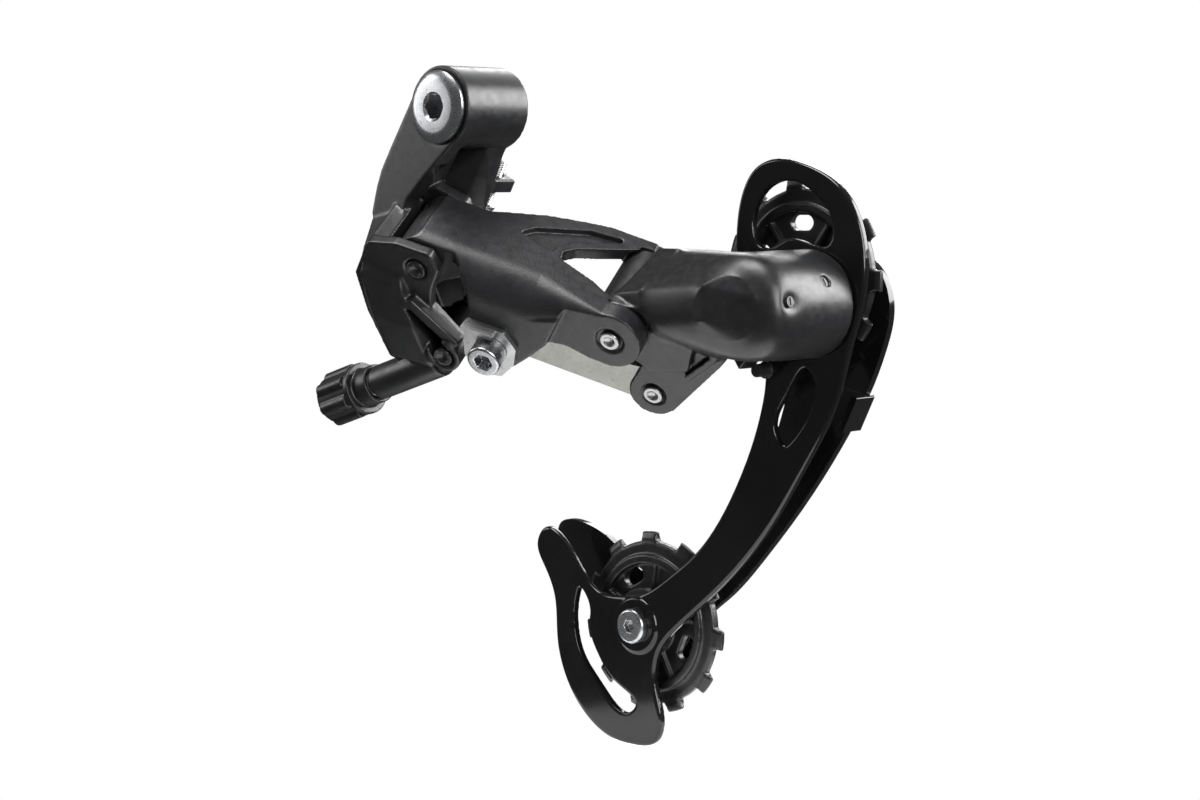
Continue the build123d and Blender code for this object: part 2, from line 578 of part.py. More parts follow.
def cage_spring():
    """Torsion spring that tensions the chain."""
    coil = helix_coil(6.1, 0.75, 20.4, 30.6, 6)
    return Pos(CAGE_X, 0, CAGE_Z) * Rot(-90, 0, 0) * coil


def axle_bush():
    """Bush in the mouth of the housing that carries the axle."""
    return side_ring(SPRING_ROOM_R - 0.05, AXLE_R + PIN_CLEAR, 33.1, 34.4, CAGE_X, CAGE_Z)


def axle_seal():
    """Thin ring between the housing and the cage."""
    return side_ring(11.6, 9.2, 34.75, OUTER_PLATE_Y - 0.15, CAGE_X, CAGE_Z)


def cage_stop_pin():
    """Pin on the cage that rests against the housing's lug."""
    pin_body = side_disc(STOP_PIN_R, 31.0, OUTER_PLATE_Y + PLATE_T - 0.1, *STOP_PIN)
    return pin_body + side_disc(2.1, OUTER_PLATE_Y - 1.0, OUTER_PLATE_Y - 0.05, *STOP_PIN)


keep("cage_axle", cage_axle())
keep("cage_spring", cage_spring())
keep("axle_bush", axle_bush())
keep("axle_seal", axle_seal())
keep("cage_stop_pin", cage_stop_pin())


# ---------------------------------------------------------------- cage plates
OUTER_RIM = [
    (53.6, -62.0), (50.2, -51.0), (45.6, -41.0), (44.4, -30.0), (46.0, -20.6), (50.0, -14.4), (57.0, -12.0),
    (64.3, -13.1), (73.9, -17.3), (80.6, -25.2), (83.0, -35.0), (82.2, -45.0), (79.2, -54.6),
    (74.7, -69.2), (66.2, -84.0), (56.4, -98.5), (46.0, -110.6), (36.0, -119.8), (25.4, -128.6),
    (19.6, -135.4), (18.6, -144.0), (20.6, -152.6), (18.8, -158.0), (11.0, -160.0), (3.0, -159.2),
    (-5.4, -154.6), (-12.0, -146.6), (-15.6, -136.0), (-16.6, -124.8), (-20.4, -117.2), (-22.8, -111.4),
    (-19.6, -107.0), (-13.6, -109.6), (-7.6, -116.2), (-1.6, -121.6), (6.0, -122.4), (14.0, -121.0),
    (23.0, -115.6), (31.8, -108.8), (39.2, -100.1), (45.2, -90.0), (49.2, -81.4), (52.6, -71.0),
]
LOOP_WINDOW = [
    (50.6, -31.6), (50.2, -24.4), (54.6, -18.8), (62.0, -17.4), (69.6, -21.4), (73.6, -27.6),
    (72.6, -32.0), (66.0, -31.6), (60.0, -31.2), (55.0, -33.2),
]
TEARDROP = [
    (66.4, -61.4), (69.0, -64.4), (67.4, -71.6), (63.2, -77.6), (59.4, -80.2), (56.6, -76.4),
    (59.6, -68.6), (63.0, -63.2),
]
CRESCENT = [
    (-7.9, -121.9), (-9.3, -129.7), (-7.4, -138.1), (-0.4, -146.3), (10.2, -151.6), (12.0, -149.8),
    (6.0, -145.0), (-0.6, -138.6), (-4.0, -131.0), (-4.4, -124.6),
]
INNER_RIM = [
    (51.6, -40.0), (54.0, -33.4), (60.2, -30.2), (66.5, -30.8), (73.0, -33.8), (79.4, -39.0),
    (82.0, -47.0), (80.0, -56.5), (75.6, -66.8), (69.8, -76.6), (62.0, -88.0), (52.3, -100.4),
    (43.2, -110.8), (32.0, -121.8),
    (24.0, -129.6), (20.6, -138.0), (12.6, -140.4), (4.0, -137.0), (-1.0, -130.4), (-8.0, -124.6),
    (-17.6, -120.0), (-25.4, -113.6), (-25.4, -108.2), (-15.0, -107.0), (-6.4, -110.6), (2.6, -116.6),
    (14.0, -118.6), (25.0, -112.4), (35.0, -101.4), (43.4, -89.0), (49.6, -75.0), (52.4, -60.0),
    (51.4, -48.0),
]


CHAIN_TAB = [(75.2, -67.4), (76.8, -68.2), (72.6, -76.6), (71.0, -75.8)]
TAB_FOOT = [(72.0, -65.4), (76.6, -67.8), (72.6, -76.6), (68.0, -74.0)]


def blade(rim, y_low, y_high):
    """Plate with a smooth closed rim."""
    face = make_face(Spline(*rim, periodic=True))
    return SIDE * Pos(0, 0, -y_high) * extrude(face, y_high - y_low, dir=(0, 0, 1))


def outer_cage_plate():
    """Outer plate: loop over the guide pulley, long arm and hooked guard."""
    y_low, y_high = OUTER_PLATE_Y, OUTER_PLATE_Y + PLATE_T
    plate = blade(OUTER_RIM, y_low, y_high)
    plate = chamfer(plate.faces().sort_by(Axis.Y)[0].edges(), 0.5)
    for window in (LOOP_WINDOW, TEARDROP, CRESCENT):
        plate -= blade(window, y_low - 1, y_high + 1)
    plate += side_disc(7.0, y_low - 0.7, y_low + 0.5, TENSION_X, TENSION_Z)
    for x, z, radius in ((CAGE_X, CAGE_Z, AXLE_R), (GUIDE_X, GUIDE_Z, PULLEY_BOLT_R + 0.05),
                         (TENSION_X, TENSION_Z, PULLEY_BOLT_R + 0.05), (*STOP_PIN, STOP_PIN_R)):
        plate -= side_disc(radius, y_low - 2, y_high + 1, x, z)
    return plate


def inner_cage_plate():
    """Inner plate with a folded chain tab on its front edge."""
    y_low, y_high = INNER_PLATE_Y, INNER_PLATE_Y + PLATE_T
    plate = blade(INNER_RIM, y_low, y_high)
    tab = side_plate(CHAIN_TAB, y_low - 5.4, y_high - 0.4, 0.3)
    web = side_plate(TAB_FOOT, y_low, y_high - 0.4, 0.3)
    plate += tab + web
    for x, z in ((GUIDE_X, GUIDE_Z), (TENSION_X, TENSION_Z)):
        plate -= side_disc(PULLEY_BOLT_R + 0.05, y_low - 1, y_high + 1, x, z)
    return plate


keep("outer_cage_plate", outer_cage_plate())
keep("inner_cage_plate", inner_cage_plate())


# ---------------------------------------------------------------- pulleys
def pulley(slots, slot_r, slot_w, turn):
    """Jockey wheel with one roller seat per tooth gap and slots through its web."""
    half = TOOTH_T / 2
    wheel = disc(TIP_R, -half, half)
    wheel = chamfer(wheel.edges().filter_by(GeomType.CIRCLE), 0.7, 1.6)
    for index in range(TEETH):
        angle = 2 * pi * index / TEETH
        wheel -= disc(ROLLER_R, -3, 3, PITCH_R * cos(angle), PITCH_R * sin(angle))
    wheel += ring(17.4, 15.2, -2.6, 2.6)
    wheel += disc(PULLEY_HUB_R, -PULLEY_HUB_T / 2, PULLEY_HUB_T / 2)
    wheel -= disc(PULLEY_HUB_R - 1.0, -5, -PULLEY_HUB_T / 2 + 1.0) - disc(PULLEY_BORE_R + 1.4, -6, 6)
    wheel -= disc(PULLEY_HUB_R - 1.0, PULLEY_HUB_T / 2 - 1.0, 5) - disc(PULLEY_BORE_R + 1.4, -6, 6)
    for index in range(slots):
        slot = Pos(slot_r, 0, 0) * extrude(SlotOverall(slot_w, 3.6, rotation=90), 4, both=True)
        wheel -= Rot(0, 0, 360.0 * (index + 0.5) / slots) * slot
    for index in range(slots):
        rib = Pos(11.7, 0, 0) * Box(7.8, 1.3, 4.6)
        wheel += Rot(0, 0, 360.0 * index / slots) * rib
    wheel -= disc(PULLEY_BORE_R, -8, 8)
    return Rot(0, 0, turn) * wheel


def pulley_set(prefix, x, z, turn, head_outboard):
    """A pulley with its sleeve, its two dust shields and its bolt."""
    middle = SIDE * Pos(x, z, -CHAIN_Y)
    inner_side = CAGE_GAP / 2
    keep(f"{prefix}_pulley", middle * pulley(5, 12.6, 6.8, turn))
    sleeve = ring(PULLEY_BORE_R - 0.05, PULLEY_BOLT_R + 0.05, -inner_side + 0.7, inner_side - 0.7)
    keep(f"{prefix}_pulley_sleeve", middle * sleeve)
    shields = []
    for side in (-1, 1):
        low, high = sorted((side * (inner_side - 0.65), side * (inner_side - 0.1)))
        shields.append(middle * ring(9.0, PULLEY_BOLT_R + 0.05, low, high))
    keep(f"{prefix}_pulley_shields", Compound(children=shields))
    reach = inner_side + PLATE_T
    head_t = 2.2
    relief = 0.75 if head_outboard else 0.05
    bolt = disc(PULLEY_BOLT_R, -reach, reach + relief)
    head = disc(4.4, reach + relief, reach + relief + head_t)
    head = fillet(head.faces().sort_by(Axis.Z)[-1].edges(), 0.8)
    bolt += head
    bolt -= hex_socket(3.0, reach + relief + head_t - 1.6, reach + relief + head_t + 1)
    if not head_outboard:
        bolt = Rot(180, 0, 0) * bolt
    keep(f"{prefix}_pulley_bolt", middle * bolt)


pulley_set("guide", GUIDE_X, GUIDE_Z, -18.0, False)
pulley_set("tension", TENSION_X, TENSION_Z, 11.0, True)


# ---------------------------------------------------------------- cable adjuster

def adjuster_knob():
    """Lobed knob that turns the cable stop."""
    low, high = KNOB
    knob = disc(6.0, low, high)
    for index in range(7):
        angle = 2 * pi * index / 7
        knob += disc(1.9, low + 2.2, high - 0.8, 5.1 * cos(angle), 5.1 * sin(angle))
    knob += disc(6.6, low, low + 1.6)
    knob += ring(4.9, SKIRT_BORE_R, SKIRT_START, low + 0.4)
    knob -= disc(4.4, high - 2.4, high + 1)
    knob -= disc(3.4, low - 1, high + 1)
    return ADJUST * knob


def adjuster_core():
    """Threaded cable stop: a tube in the knuckle's boss, with a socket for the cable housing."""
    low, high = KNOB
    core = disc(ADJUST_THREAD_R - 0.02, 4.0, low + 1.0) + disc(3.38, low + 0.6, high - 0.6)
    core -= disc(0.9, 0, 50)
    core -= disc(HOUSING_R, high - 9.0, 50)
    return ADJUST * core


def adjuster_spring():
    """Small coil that keeps the knob from turning by itself."""
    return ADJUST * helix_coil(3.25, 0.4, 16.2, 20.2, 3)


keep("adjuster_knob", adjuster_knob())
keep("adjuster_core", adjuster_core())
keep("adjuster_spring", adjuster_spring())

for name, shape in NODES.items():
    export_step(shape, f"parts/{name}.step")
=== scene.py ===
"""Looks of the rear derailleur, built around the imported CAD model. Metres, in the CAD's frame."""
import bmesh
import bpy
import json
from math import cos, pi, radians, sin, sqrt
from mathutils import Matrix, Vector


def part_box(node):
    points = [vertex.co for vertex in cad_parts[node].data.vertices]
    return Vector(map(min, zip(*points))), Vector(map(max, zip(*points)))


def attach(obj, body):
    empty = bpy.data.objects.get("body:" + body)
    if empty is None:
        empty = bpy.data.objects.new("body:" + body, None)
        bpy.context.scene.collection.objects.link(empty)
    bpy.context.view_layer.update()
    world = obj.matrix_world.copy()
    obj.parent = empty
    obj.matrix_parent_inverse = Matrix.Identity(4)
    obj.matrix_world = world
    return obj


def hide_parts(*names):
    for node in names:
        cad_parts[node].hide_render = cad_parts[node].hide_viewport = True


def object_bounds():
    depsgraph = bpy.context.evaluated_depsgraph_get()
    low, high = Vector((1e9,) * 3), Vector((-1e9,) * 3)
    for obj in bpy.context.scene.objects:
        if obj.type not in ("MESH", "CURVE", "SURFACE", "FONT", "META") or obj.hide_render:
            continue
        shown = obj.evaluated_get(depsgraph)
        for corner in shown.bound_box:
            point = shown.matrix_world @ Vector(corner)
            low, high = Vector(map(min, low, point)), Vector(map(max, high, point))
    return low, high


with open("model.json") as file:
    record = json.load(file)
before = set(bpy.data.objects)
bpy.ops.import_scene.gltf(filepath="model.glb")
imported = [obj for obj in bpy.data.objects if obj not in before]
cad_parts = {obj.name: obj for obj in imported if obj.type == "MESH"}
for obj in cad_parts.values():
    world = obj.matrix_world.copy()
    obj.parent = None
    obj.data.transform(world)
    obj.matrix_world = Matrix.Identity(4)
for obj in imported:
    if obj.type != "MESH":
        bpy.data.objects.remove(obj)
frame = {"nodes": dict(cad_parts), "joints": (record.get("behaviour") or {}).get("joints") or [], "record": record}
CAD_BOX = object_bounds()
NODES = frame["nodes"]
JOINTS = {joint["name"]: joint for joint in frame["joints"]}
BODY_OF = {node: body for body, names in frame["record"]["behaviour"]["bodies"].items() for node in names}
SLOT_OF = {entry["node"]: entry["material_slot"] for entry in frame["record"]["subparts"]}
MM = 0.001                          # sizes without a unit in their name are in mm, and times MM in metres


# ---------------------------------------------------------------- materials
class Graph:
    """A material's nodes, with short calls to add and join them."""

    def __init__(self, name):
        self.material = bpy.data.materials.new(name)
        self.material.use_nodes = True
        self.tree = self.material.node_tree
        self.shader = self.tree.nodes["Principled BSDF"]
        coords = self.tree.nodes.new("ShaderNodeTexCoord")
        self.mm = self.add("Mapping", Vector=coords.outputs["Object"], Scale=(1 / MM, 1 / MM, 1 / MM))

    def add(self, kind, settings=None, **inputs):
        """A new node's first output; each input is a value or another node's output."""
        node = self.tree.nodes.new("ShaderNode" + kind)
        for key, value in (settings or {}).items():
            setattr(node, key, value)
        for key, value in inputs.items():
            socket = node.inputs[key.replace("_", " ")]
            if isinstance(value, bpy.types.NodeSocket):
                self.tree.links.new(value, socket)
            else:
                socket.default_value = value
        return node.outputs[0]

    def noise(self, per_mm, detail=3.0, stretch=None):
        """Noise from 0 to 1 with that many cells in a millimetre."""
        place = self.mm
        if stretch:
            place = self.add("Mapping", Vector=self.mm, Scale=stretch)
        return self.add("TexNoise", Vector=place, Scale=per_mm, Detail=detail)

    def ramp(self, value, low, high, start=0.0, end=1.0):
        """value's stretch from low to high, mapped onto start to end."""
        node = self.tree.nodes.new("ShaderNodeMapRange")
        self.tree.links.new(value, node.inputs["Value"])
        for key, number in (("From Min", low), ("From Max", high), ("To Min", start), ("To Max", end)):
            node.inputs[key].default_value = number
        return node.outputs[0]

    def mix(self, factor, first, second):
        """Colour between first and second."""
        node = self.tree.nodes.new("ShaderNodeMix")
        node.data_type = "RGBA"
        for index, value in ((0, factor), (6, first), (7, second)):
            if isinstance(value, bpy.types.NodeSocket):
                self.tree.links.new(value, node.inputs[index])
            elif index:
                node.inputs[index].default_value = (*value, 1.0)
            else:
                node.inputs[index].default_value = value
        return node.outputs[2]

    def edges(self, width):
        """1 on sharp outward edges, broken up by noise, 0 elsewhere."""
        flat = 0.5
        worn = self.tree.nodes.new("ShaderNodeNewGeometry").outputs["Pointiness"]
        mask = self.ramp(worn, flat + width, flat + 3 * width)
        broken = self.ramp(self.noise(0.9, 4.0), 0.42, 0.62)
        return self.combined("MULTIPLY", mask, broken)

    def combined(self, operation, first, second):
        """Result of a maths operation on two values."""
        node = self.tree.nodes.new("ShaderNodeMath")
        node.operation = operation
        self.tree.links.new(first, node.inputs[0])
        self.tree.links.new(second, node.inputs[1])
        return node.outputs[0]

    def bump(self, height, depth_mm):
        """Relief of that depth on the shader's normal."""
        node = self.tree.nodes.new("ShaderNodeBump")
        node.inputs["Distance"].default_value = depth_mm * MM
        self.tree.links.new(height, node.inputs["Height"])
        self.tree.links.new(node.outputs[0], self.shader.inputs["Normal"])

    def paint(self, colour, roughness, **fixed):
        """Colour and roughness from nodes, everything else as one number on the shader."""
        self.tree.links.new(colour, self.shader.inputs["Base Color"])
        self.tree.links.new(roughness, self.shader.inputs["Roughness"])
        for key, value in fixed.items():
            self.shader.inputs[key.replace("_", " ")].default_value = value
        return self.material


def shade(colour, factor):
    """The colour made that many times as bright."""
    return tuple(factor * c for c in colour)


def moulded(name, colour, grain_per_mm, grain_mm, rough):
    """Glass-filled nylon: fine spark-eroded grain, cloudy tone, rubbed edges."""
    g = Graph(name)
    cloud = g.ramp(g.noise(0.12, 4.0), 0.35, 0.65)
    fleck = g.ramp(g.noise(grain_per_mm * 1.7, 2.0), 0.5, 0.75)
    tone = g.mix(cloud, shade(colour, 0.8), shade(colour, 1.25))
    tone = g.mix(g.combined("MULTIPLY", fleck, fleck), tone, shade(colour, 1.9))
    tone = g.mix(g.edges(0.03), tone, shade(colour, 3.0))
    roughness = g.ramp(g.noise(0.5, 3.0), 0.3, 0.7, rough - 0.05, rough + 0.07)
    g.bump(g.noise(grain_per_mm, 3.0), grain_mm)
    return g.paint(tone, roughness, Specular_IOR_Level=0.5)


def gloss_paint(name, colour, rough):
    """Stove-enamelled steel: deep gloss, faint orange peel, light scuffs and rubbed edges."""
    g = Graph(name)
    tone = g.mix(g.ramp(g.noise(0.06, 3.0), 0.3, 0.7), colour, shade(colour, 1.7))
    tone = g.mix(g.edges(0.06), tone, shade(colour, 6.0))
    scuff = g.ramp(g.noise(0.6, 5.0, (1.0, 1.0, 6.0)), 0.60, 0.74)
    dust = g.ramp(g.noise(0.15, 5.0), 0.45, 0.7, 0.0, 0.04)
    roughness = g.combined("ADD", g.ramp(scuff, 0.0, 1.0, rough, rough + 0.12), dust)
    g.bump(g.noise(0.45, 2.0), 0.003)
    return g.paint(tone, roughness, Specular_IOR_Level=0.42)


def plated(name, colour, rough, marks=(1.0, 1.0, 1.0)):
    """Bright plated or turned steel: fine marks, drawn out where marks is uneven, and dull grey stains."""
    g = Graph(name)
    blotch = g.ramp(g.noise(0.25, 4.0), 0.35, 0.7)
    tone = g.mix(blotch, colour, shade(colour, 0.84))
    stain = g.ramp(g.noise(1.1, 5.0), 0.60, 0.72)
    tone = g.mix(stain, tone, shade(colour, 0.62))
    fine = g.noise(5.0, 2.0, marks)
    roughness = g.ramp(fine, 0.3, 0.7, rough - 0.05, rough + 0.09)
    g.bump(fine, 0.005)
    return g.paint(tone, roughness, Metallic=1.0)


def rubbery(name, colour):
    """Matt black rubber with a dusty bloom."""
    g = Graph(name)
    tone = g.mix(g.ramp(g.noise(0.4, 4.0), 0.4, 0.7), colour, shade(colour, 1.8))
    g.bump(g.noise(4.0, 3.0), 0.01)
    return g.paint(tone, g.ramp(g.noise(1.0), 0.3, 0.7, 0.62, 0.8))


MATERIALS = {
    "composite": moulded(
        "satin_nylon", (0.0085, 0.0087, 0.0095), grain_per_mm=1.15, grain_mm=0.011, rough=0.35),
    "link_composite": moulded(
        "grained_nylon", (0.0115, 0.0117, 0.0128), grain_per_mm=2.2, grain_mm=0.035, rough=0.36),
    "knob_plastic": moulded(
        "knob_nylon", (0.006, 0.006, 0.0065), grain_per_mm=1.2, grain_mm=0.008, rough=0.36),
    "pulley_plastic": moulded(
        "pulley_nylon", (0.006, 0.006, 0.0065), grain_per_mm=1.1, grain_mm=0.008, rough=0.32),
    "bush_plastic": moulded(
        "bush_acetal", (0.05, 0.05, 0.05), grain_per_mm=3.0, grain_mm=0.01, rough=0.4),
    "cage_paint": gloss_paint("black_enamel", (0.0035, 0.0035, 0.0037), rough=0.11),
    "black_pin": gloss_paint("black_oxide", (0.012, 0.012, 0.012), rough=0.26),
    "plated_bolt": plated("bright_zinc", (0.44, 0.45, 0.465), rough=0.27),
    "clamp_steel": plated("satin_zinc", (0.50, 0.505, 0.50), rough=0.36, marks=(1.0, 4.0, 1.0)),
    "link_steel": plated("nickel", (0.21, 0.21, 0.195), rough=0.15, marks=(0.25, 0.6, 5.0)),
    "pin_steel": plated("turned_steel", (0.36, 0.36, 0.365), rough=0.30),
    "screw_steel": plated("screw_zinc", (0.46, 0.46, 0.45), rough=0.28),
    "spring_steel": plated("spring_wire", (0.42, 0.42, 0.43), rough=0.28),
    "shield_steel": plated("black_zinc", (0.10, 0.10, 0.105), rough=0.32),
    "seal_rubber": rubbery("seal_rubber", (0.012, 0.012, 0.012)),
}
for node_name, node in NODES.items():
    node.data.materials.clear()
    node.data.materials.append(MATERIALS[SLOT_OF[node_name]])


# ---------------------------------------------------------------- mesh helpers
LATHE_TURNS = 64                    # points round a turned shape
SHARP_ANGLE = 50                    # an edge that turns by more degrees than this is shaded sharp
SMOOTHING = 0.5                     # share of the way to its neighbours' middle that a point moves in a round
SOFT = "soft"                       # vertex group of the points that get SOFT_ROUNDS more rounds
SOFT_ROUNDS = 800


def shown(name, data):
    """A new object that holds data, linked to the scene."""
    thing = bpy.data.objects.new(name, data)
    bpy.context.scene.collection.objects.link(thing)
    return thing


def add_piece(name, mesh, node):
    """Put a mesh in the scene in a CAD node's place, riding on that node's body."""
    piece = shown(name, mesh)
    mesh.materials.clear()
    mesh.materials.append(MATERIALS[SLOT_OF[node]])
    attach(piece, BODY_OF[node])
    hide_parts(node)


def copied(node):
    """A clean copy of a CAD node's mesh: doubled points merged, flat faces in one piece."""
    mesh = NODES[node].data.copy()
    work = bmesh.new()
    work.from_mesh(mesh)
    bmesh.ops.remove_doubles(work, verts=work.verts, dist=1e-6)
    bmesh.ops.dissolve_limit(work, angle_limit=radians(0.6), verts=work.verts, edges=work.edges)
    work.to_mesh(mesh)
    work.free()
    return mesh


def applied(mesh, *steps, weight_at=None):
    """The mesh after modifiers, each (type, settings), whose group SOFT has weight_at(point in mm)."""
    helper = shown("helper", mesh)
    if weight_at:
        group = helper.vertex_groups.new(name=SOFT)
        for vertex in mesh.vertices:
            weight = weight_at(vertex.co / MM)
            if weight > 0:
                group.add([vertex.index], weight, "REPLACE")
    for kind, settings in steps:
        modifier = helper.modifiers.new(kind, kind)
        for key, value in settings.items():
            setattr(modifier, key, value)
    graph = bpy.context.evaluated_depsgraph_get()
    result = bpy.data.meshes.new_from_object(helper.evaluated_get(graph))
    bpy.data.objects.remove(helper)
    return result


def cast(node, voxel, rounds, weight_at=None, filling=None):
    """A moulded piece: the CAD shape and any filling, with its edges blended, and more so by weight_at."""
    mesh = joined(copied(node), filling) if filling else copied(node)
    mesh = applied(
        mesh,
        ("REMESH", {"mode": "VOXEL", "voxel_size": voxel * MM, "adaptivity": 0.0, "use_smooth_shade": True}),
        ("SMOOTH", {"factor": SMOOTHING, "iterations": rounds}),
    )
    if weight_at:
        softening = {"factor": SMOOTHING, "iterations": SOFT_ROUNDS, "vertex_group": SOFT}
        mesh = applied(mesh, ("SMOOTH", softening), weight_at=weight_at)
    mesh.shade_smooth()
    add_piece(node + "_moulded", mesh, node)


def bevelled(node, width, steps):
    """A sheet or turned piece: the CAD shape with its sharp edges rounded."""
    smooth_piece(node + "_finished", rounded(copied(node), width, steps), node)


def frame_of(joint_name, along=1.0):
    """Matrix whose Z runs from a joint's stated point along its axis, or against it where along is -1."""
    joint = JOINTS[joint_name]
    axis = Vector(joint["axis"]).normalized() * along
    turn = axis.to_track_quat("Z", "Y").to_matrix().to_4x4()
    return Matrix.Translation(Vector(joint["pos_m"])) @ turn


def lathe(profile, place):
    """Closed turned shape from (radius, height) points in mm about the place's Z axis."""
    turns = LATHE_TURNS
    angles = [2 * pi * k / turns for k in range(turns)]
    work = bmesh.new()
    rings = []
    for radius, height in profile:
        spots = [(radius * MM * cos(t), radius * MM * sin(t), height * MM) for t in angles]
        if radius == 0:
            spots = [(0, 0, height * MM)]
        rings.append([work.verts.new(spot) for spot in spots])
    bands = list(zip(rings, rings[1:]))
    if len(rings[0]) > 1:
        bands.append((rings[-1], rings[0]))
    for low, high in bands:
        for k in range(turns):
            after = (k + 1) % turns
            if len(low) == 1:
                work.faces.new((low[0], high[after], high[k]))
            elif len(high) == 1:
                work.faces.new((low[k], low[after], high[0]))
            else:
                work.faces.new((low[k], low[after], high[after], high[k]))
    return finished(work, place)


def thread(radius, pitch, depth, low, high, place, turns):
    """Closed rod with a helical V thread, its crests a little flat and its ends run out to the root."""
    rows_per_pitch = 10
    runout_length = 0.6 * pitch
    crest_gain = 1.25
    work = bmesh.new()
    rows = []
    count = round((high - low) / pitch * rows_per_pitch)
    for row in range(count + 1):
        height = low + (high - low) * row / count
        runout = min(1.0, (height - low) / runout_length, (high - height) / runout_length)
        points = []
        for k in range(turns):
            phase = (height / pitch - k / turns) % 1.0
            crest = 1.0 - abs(2.0 * phase - 1.0)
            r = (radius - depth + depth * min(1.0, crest_gain * crest) * runout) * MM
            angle = 2 * pi * k / turns
            points.append(work.verts.new((r * cos(angle), r * sin(angle), height * MM)))
        rows.append(points)
    for lower, upper in zip(rows, rows[1:]):
        for k in range(turns):
            after = (k + 1) % turns
            work.faces.new((lower[k], lower[after], upper[after], upper[k]))
    work.faces.new(list(reversed(rows[0])))
    work.faces.new(rows[-1])
    return finished(work, place)


def polygon_prism(points, low, high, place):
    """Closed prism of (x, y) points in mm."""
    work = bmesh.new()
    bottom = [work.verts.new((x * MM, y * MM, low * MM)) for x, y in points]
    top = [work.verts.new((x * MM, y * MM, high * MM)) for x, y in points]
    count = len(points)
    for k in range(count):
        after = (k + 1) % count
        work.faces.new((bottom[k], bottom[after], top[after], top[k]))
    work.faces.new(list(reversed(bottom)))
    work.faces.new(top)
    return finished(work, place)


def finished(work, place):
    """Mesh of a bmesh, turned the right way out and put in place."""
    bmesh.ops.recalc_face_normals(work, faces=work.faces)
    work.transform(place)
    mesh = bpy.data.meshes.new("part")
    work.to_mesh(mesh)
    work.free()
    return mesh


def joined(*meshes):
    """One mesh of several."""
    work = bmesh.new()
    for mesh in meshes:
        work.from_mesh(mesh)
    result = bpy.data.meshes.new("part")
    work.to_mesh(result)
    work.free()
    return result


def carved(mesh, *cutters):
    """The mesh with the cutters' volumes taken out."""
    helpers = []
    steps = []
    for cutter in cutters:
        tool = shown("cutter", cutter)
        helpers.append(tool)
        steps.append(("BOOLEAN", {"operation": "DIFFERENCE", "solver": "EXACT", "object": tool}))
    result = applied(mesh, *steps)
    for tool in helpers:
        bpy.data.objects.remove(tool)
    return result


def rounded(mesh, width, steps, angle=35):
    """The mesh with its edges rounded where they turn by more than the angle in degrees."""
    return applied(mesh, ("BEVEL", {
        "width": width * MM, "segments": steps, "limit_method": "ANGLE",
        "angle_limit": radians(angle), "use_clamp_overlap": True}))


def hexagon(across):
    """Corner points of a hexagon of that size across its flats, in mm."""
    corner = across / sqrt(3)
    return [(corner * cos(k * pi / 3), corner * sin(k * pi / 3)) for k in range(6)]


def cross(length, width):
    """Corner points of a cross recess, in mm."""
    a, b = length / 2, width / 2
    return [
        (b, b), (b, a), (-b, a), (-b, b), (-a, b), (-a, -b),
        (-b, -b), (-b, -a), (b, -a), (b, -b), (a, -b), (a, b),
    ]


def smooth_piece(name, mesh, node):
    """Put a finished mesh in a CAD node's place, shaded smooth but flat on its flat faces."""
    mesh.shade_smooth()
    mesh.set_sharp_from_angle(angle=radians(SHARP_ANGLE))
    mesh = applied(mesh, ("WEIGHTED_NORMAL", {"keep_sharp": True, "weight": 90}))
    add_piece(name, mesh, node)


# ---------------------------------------------------------------- bolts and screws
def hanger_bolt():
    """Broad flat head with a bevelled rim, deep socket, shank, neck and a real M10 x 1 thread."""
    low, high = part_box("hanger_bolt")
    place = Matrix.Translation((0, low.y, 0)) @ Matrix.Rotation(-pi / 2, 4, "X")
    length = (high.y - low.y) / MM
    head_r = (high.x - low.x) / 2 / MM
    head_t = 2.3
    shank_r, clip_groove_r, neck_r = 5.5, 4.8, 4.3
    hanger_face = -low.y / MM
    groove_from, groove_to = hanger_face - 4.6, hanger_face - 3.8
    neck_from, neck_at, neck_to = hanger_face - 1.6, hanger_face - 1.2, hanger_face + 0.1
    body = lathe([
        (0, 0), (5.9, 0), (head_r - 1.5, 0.12), (head_r - 0.35, 0.85), (head_r, 1.15),
        (head_r, head_t - 0.3), (head_r - 0.25, head_t), (shank_r, head_t),
        (shank_r, groove_from), (clip_groove_r, groove_from), (clip_groove_r, groove_to),
        (shank_r, groove_to), (shank_r, neck_from), (neck_r, neck_at), (neck_r, neck_to), (0, neck_to),
    ], place)
    socket = polygon_prism(hexagon(across=5.6), -1.0, 4.4, place)
    lead_in = lathe([(0, -0.6), (4.1, -0.6), (2.9, 0.6), (0, 0.6)], place)
    body = rounded(carved(body, lead_in, socket), width=0.08, steps=2, angle=30)
    worm = thread(radius=5.0, pitch=1.0, depth=0.55, low=hanger_face, high=length, place=place, turns=48)
    smooth_piece("hanger_bolt_turned", joined(body, worm), "hanger_bolt")


def cross_screw(node, joint_name, toward_head, head_at, tip_at, head_r, head_t):
    """Pan head with a cross recess over a threaded shank; heights are along the joint's axis."""
    place = frame_of(joint_name, toward_head)
    rim_share = 0.35
    rim_at, top_at = head_at + head_t * rim_share, head_at + head_t
    dome = [
        (head_r * cos(t), head_at + head_t * (rim_share + (1 - rim_share) * sin(t)))
        for t in (radians(15 * k) for k in range(6))
    ]
    head = lathe([(0, head_at), (head_r, head_at), *dome, (0, top_at)], place)
    recess = polygon_prism(cross(length=head_r * 1.25, width=0.62), rim_at, top_at + 1, place)
    head = rounded(carved(head, recess), width=0.06, steps=1, angle=40)
    worm = thread(radius=1.5, pitch=0.5, depth=0.28, low=tip_at, high=head_at + 0.2, place=place, turns=32)
    smooth_piece(node + "_turned", joined(head, worm), node)


